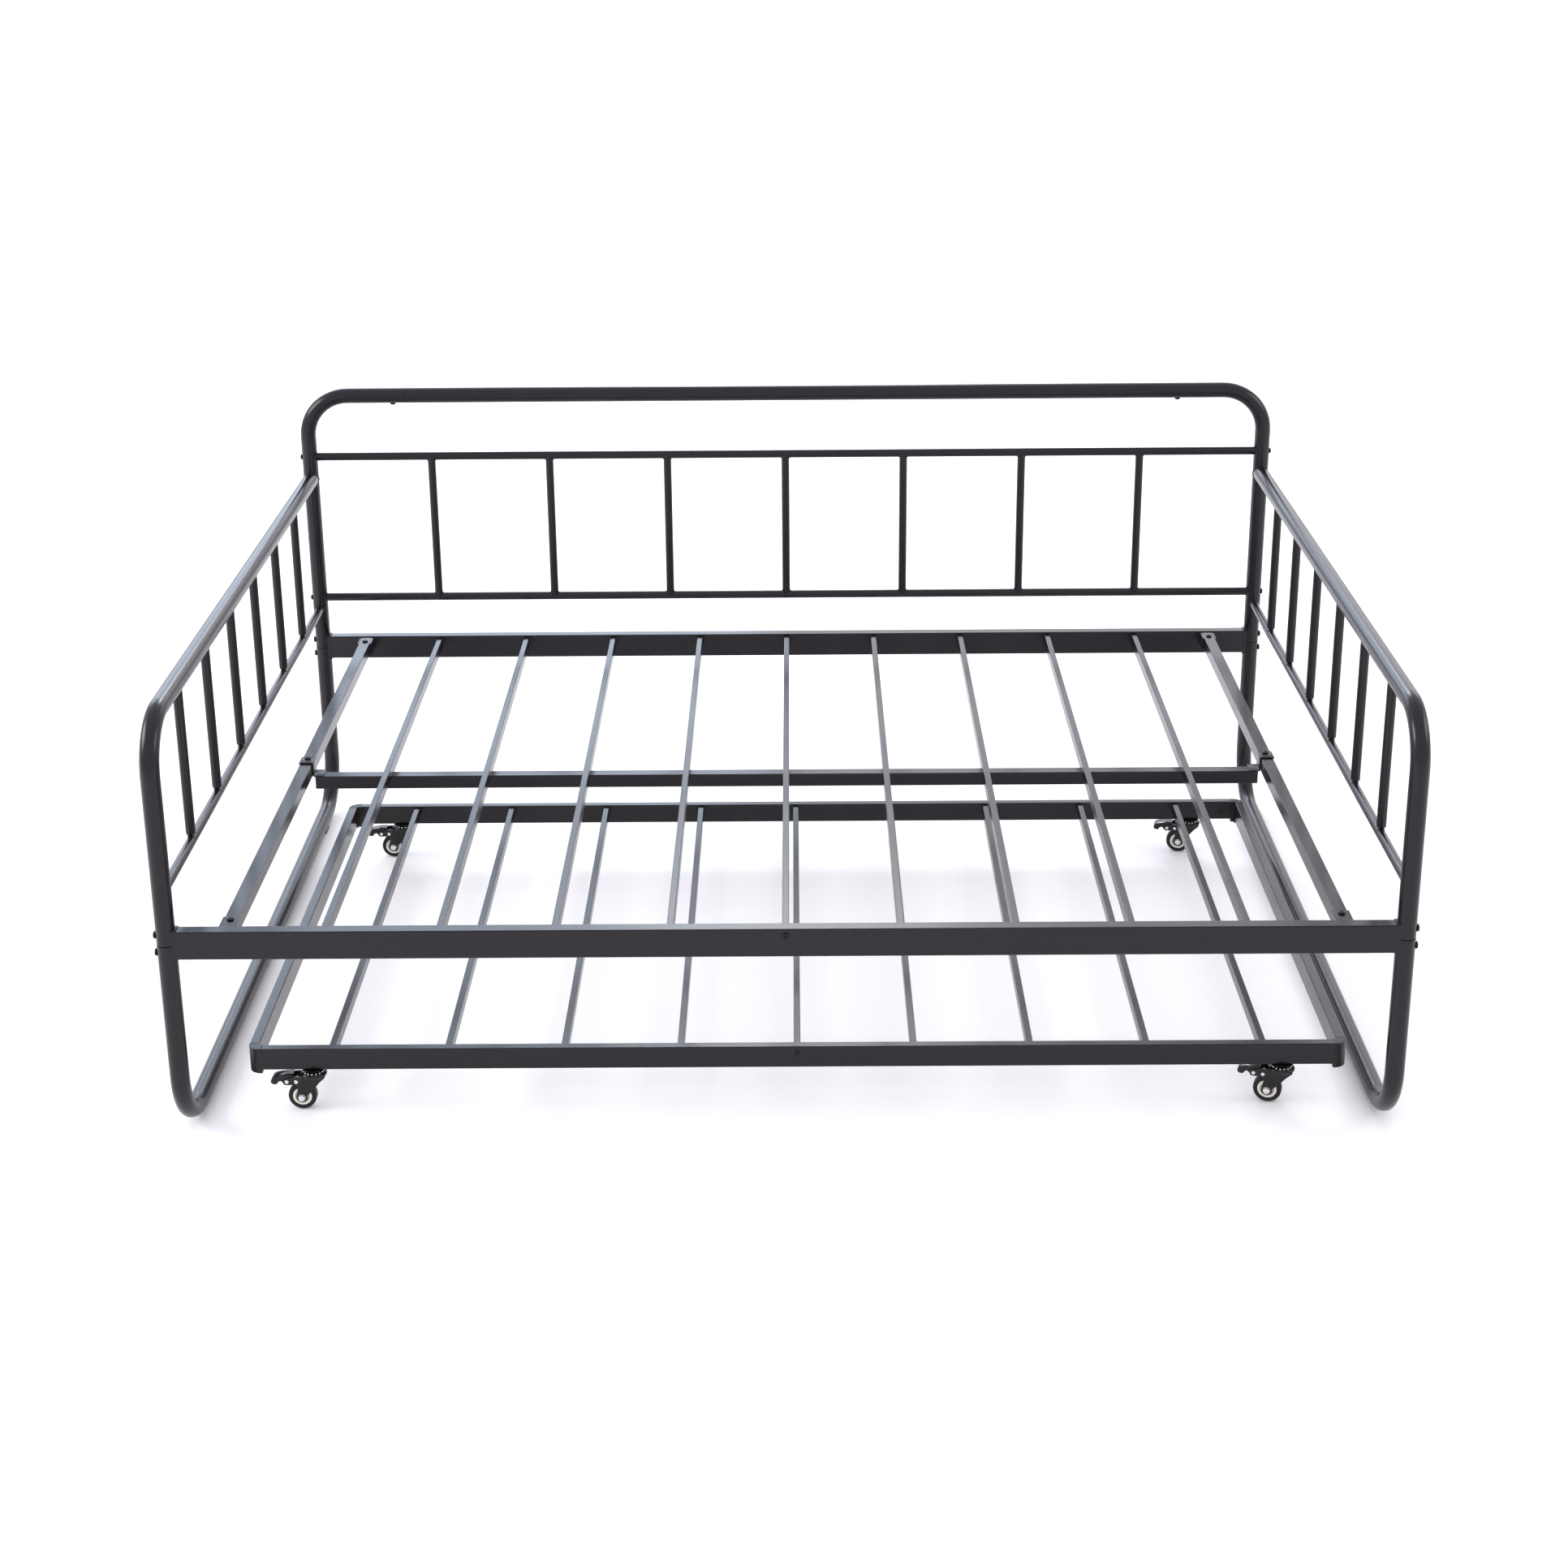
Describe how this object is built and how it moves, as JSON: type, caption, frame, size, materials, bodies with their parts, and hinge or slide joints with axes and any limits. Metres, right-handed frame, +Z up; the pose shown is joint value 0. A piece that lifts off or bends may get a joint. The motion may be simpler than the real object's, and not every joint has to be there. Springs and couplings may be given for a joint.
{
  "type": "daybed with trundle",
  "caption": "Tubular steel daybed with a spindle back and arms on sled legs, and a low slatted trundle that rolls out on braked swivel casters.",
  "frame": {"origin": "on the floor, at the middle of the daybed's footprint", "axes": "+X towards the right arm, +Y towards the back rest, +Z up"},
  "size_m": [1.9888, 1.41, 0.9135],
  "materials": {
    "frame_enamel": "satin black powder coat",
    "black_plastic": "fine textured",
    "black_screw": "black oxide",
    "caster_steel": "gloss black",
    "zinc": "bright zinc plate",
    "cream_nylon": "moulded nylon",
    "black_tyre": "smooth polyurethane"
  },
  "bodies": {
    "daybed_frame": {"left_leg_runner": "frame_enamel", "left_arm_tube": "frame_enamel", "left_arm_lower_rail": "frame_enamel", "left_arm_spindles": "frame_enamel", "left_back_post": "frame_enamel", "left_end_bars": "frame_enamel", "right_leg_runner": "frame_enamel", "right_arm_tube": "frame_enamel", "right_arm_lower_rail": "frame_enamel", "right_arm_spindles": "frame_enamel", "right_back_post": "frame_enamel", "right_end_bars": "frame_enamel", "back_top_rail": "frame_enamel", "back_upper_rail": "frame_enamel", "back_lower_rail": "frame_enamel", "back_spindles": "frame_enamel", "tube_sleeves": "frame_enamel", "front_deck_rail": "frame_enamel", "rear_deck_rail": "frame_enamel", "rail_end_saddles": "black_plastic", "end_bar_brackets": "frame_enamel", "middle_beam": "frame_enamel", "beam_hangers": "frame_enamel", "deck_slats": "frame_enamel", "rail_bolts": "black_screw", "rail_centre_screws": "black_screw", "back_panel_screws": "black_screw", "top_rail_screws": "black_screw", "end_bar_screws": "black_screw", "runner_glides": "black_plastic"},
    "trundle": {"trundle_front_rail": "frame_enamel", "trundle_rear_rail": "frame_enamel", "trundle_left_rail": "frame_enamel", "trundle_right_rail": "frame_enamel", "trundle_corners": "black_plastic", "trundle_slats": "frame_enamel", "trundle_screws": "black_screw", "caster_mount_plates": "caster_steel", "swivel_balls": "zinc"},
    "front_left_swivel": {"front_left_fork": "caster_steel", "front_left_axle_and_rivets": "zinc"},
    "front_left_pedal": {"front_left_brake_pedal": "caster_steel"},
    "front_left_wheel": {"front_left_hub": "cream_nylon", "front_left_tyre": "black_tyre"},
    "front_right_swivel": {"front_right_fork": "caster_steel", "front_right_axle_and_rivets": "zinc"},
    "front_right_pedal": {"front_right_brake_pedal": "caster_steel"},
    "front_right_wheel": {"front_right_hub": "cream_nylon", "front_right_tyre": "black_tyre"},
    "rear_left_swivel": {"rear_left_fork": "caster_steel", "rear_left_axle_and_rivets": "zinc"},
    "rear_left_pedal": {"rear_left_brake_pedal": "caster_steel"},
    "rear_left_wheel": {"rear_left_hub": "cream_nylon", "rear_left_tyre": "black_tyre"},
    "rear_right_swivel": {"rear_right_fork": "caster_steel", "rear_right_axle_and_rivets": "zinc"},
    "rear_right_pedal": {"rear_right_brake_pedal": "caster_steel"},
    "rear_right_wheel": {"rear_right_hub": "cream_nylon", "rear_right_tyre": "black_tyre"}
  },
  "joints": [
    {"name": "trundle_roll", "type": "slide", "parent": "daybed_frame", "child": "trundle", "axis": [0, -1, 0], "range_m": [-0.25, 1.15]},
    {"name": "front_left_swivel_turn", "type": "hinge", "parent": "trundle", "child": "front_left_swivel", "pos_m": [-0.7835, -0.5797, 0.069], "axis": [0, 0, 1], "continuous": true},
    {"name": "front_left_wheel_spin", "type": "hinge", "parent": "front_left_swivel", "child": "front_left_wheel", "pos_m": [-0.804, -0.5797, 0.0235], "axis": [0, -1, 0], "continuous": true},
    {"name": "front_left_brake_press", "type": "hinge", "parent": "front_left_swivel", "child": "front_left_pedal", "pos_m": [-0.8117, -0.5797, 0.0527], "axis": [0, -1, 0], "range_deg": [0, 12]},
    {"name": "front_right_swivel_turn", "type": "hinge", "parent": "trundle", "child": "front_right_swivel", "pos_m": [0.8175, -0.5797, 0.069], "axis": [0, 0, 1], "continuous": true},
    {"name": "front_right_wheel_spin", "type": "hinge", "parent": "front_right_swivel", "child": "front_right_wheel", "pos_m": [0.798, -0.57337, 0.0235], "axis": [-0.309, -0.9511, 0], "continuous": true},
    {"name": "front_right_brake_press", "type": "hinge", "parent": "front_right_swivel", "child": "front_right_pedal", "pos_m": [0.79068, -0.57099, 0.0527], "axis": [-0.309, -0.9511, 0], "range_deg": [0, 12]},
    {"name": "rear_left_swivel_turn", "type": "hinge", "parent": "trundle", "child": "rear_left_swivel", "pos_m": [-0.7835, 0.4147, 0.069], "axis": [0, 0, 1], "continuous": true},
    {"name": "rear_left_wheel_spin", "type": "hinge", "parent": "rear_left_swivel", "child": "rear_left_wheel", "pos_m": [-0.804, 0.4147, 0.0235], "axis": [0, -1, 0], "continuous": true},
    {"name": "rear_left_brake_press", "type": "hinge", "parent": "rear_left_swivel", "child": "rear_left_pedal", "pos_m": [-0.8117, 0.4147, 0.0527], "axis": [0, -1, 0], "range_deg": [0, 12]},
    {"name": "rear_right_swivel_turn", "type": "hinge", "parent": "trundle", "child": "rear_right_swivel", "pos_m": [0.8175, 0.4147, 0.069], "axis": [0, 0, 1], "continuous": true},
    {"name": "rear_right_wheel_spin", "type": "hinge", "parent": "rear_right_swivel", "child": "rear_right_wheel", "pos_m": [0.79731, 0.41826, 0.0235], "axis": [-0.1736, -0.9848, 0], "continuous": true},
    {"name": "rear_right_brake_press", "type": "hinge", "parent": "rear_right_swivel", "child": "rear_right_pedal", "pos_m": [0.78973, 0.4196, 0.0527], "axis": [-0.1736, -0.9848, 0], "range_deg": [0, 12]}
  ]
}
